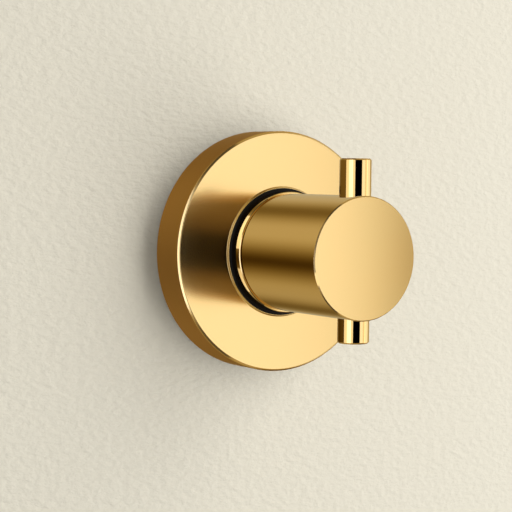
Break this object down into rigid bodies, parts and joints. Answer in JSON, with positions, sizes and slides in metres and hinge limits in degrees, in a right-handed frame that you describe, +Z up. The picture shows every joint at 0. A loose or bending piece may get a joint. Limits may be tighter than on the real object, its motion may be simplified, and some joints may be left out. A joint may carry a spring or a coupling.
{
  "type": "thermostatic diverter",
  "caption": "Wall mounted two-way shower diverter: round gold rosette, cylinder handle with a cross pin, and its ceramic disc cartridge in a brass valve body inside the wall.",
  "frame": {"origin": "on the handle's axis, in the plane of the finished wall, where the rosette's back rests", "axes": "+Y into the wall along the handle's axis, the handle points along -Y, +Z up, +X to the right as seen from the front"},
  "size_m": [0.07, 0.116, 0.07],
  "materials": {
    "satin_gold": "satin gold plated brass, finely turned",
    "polished_gold": "polished gold plated brass",
    "cast_brass": "sand blasted brass casting",
    "turned_brass": "turned brass",
    "screw_steel": "plain stainless steel",
    "black_rubber": "matt black rubber",
    "grey_plastic": "moulded acetal",
    "nylon": "natural nylon",
    "disc_ceramic": "lapped alumina"
  },
  "bodies": {
    "valve": {"rosette": "satin_gold", "black_ring": "black_rubber", "wall_seal": "black_rubber", "sleeve": "polished_gold", "glide_ring": "nylon", "neck_ring": "black_rubber", "valve_body": "cast_brass", "retaining_nut": "turned_brass", "housing": "turned_brass", "housing_ring": "black_rubber", "slip_washer": "nylon", "cartridge_base": "grey_plastic", "base_seal": "black_rubber", "fixed_disc": "disc_ceramic"},
    "handle": {"handle": "satin_gold", "pin_lever": "polished_gold", "pin_grub_screw": "screw_steel", "handle_grub_screw": "screw_steel", "spline_adapter": "nylon", "adapter_screw": "screw_steel", "spindle": "turned_brass", "spindle_rings": "black_rubber", "circlip": "screw_steel", "driver": "grey_plastic", "moving_disc": "disc_ceramic"}
  },
  "joints": [
    {"name": "handle_turn", "type": "hinge", "parent": "valve", "child": "handle", "pos_m": [0, 0, 0], "axis": [0, -1, 0], "range_deg": [-45, 45]}
  ]
}
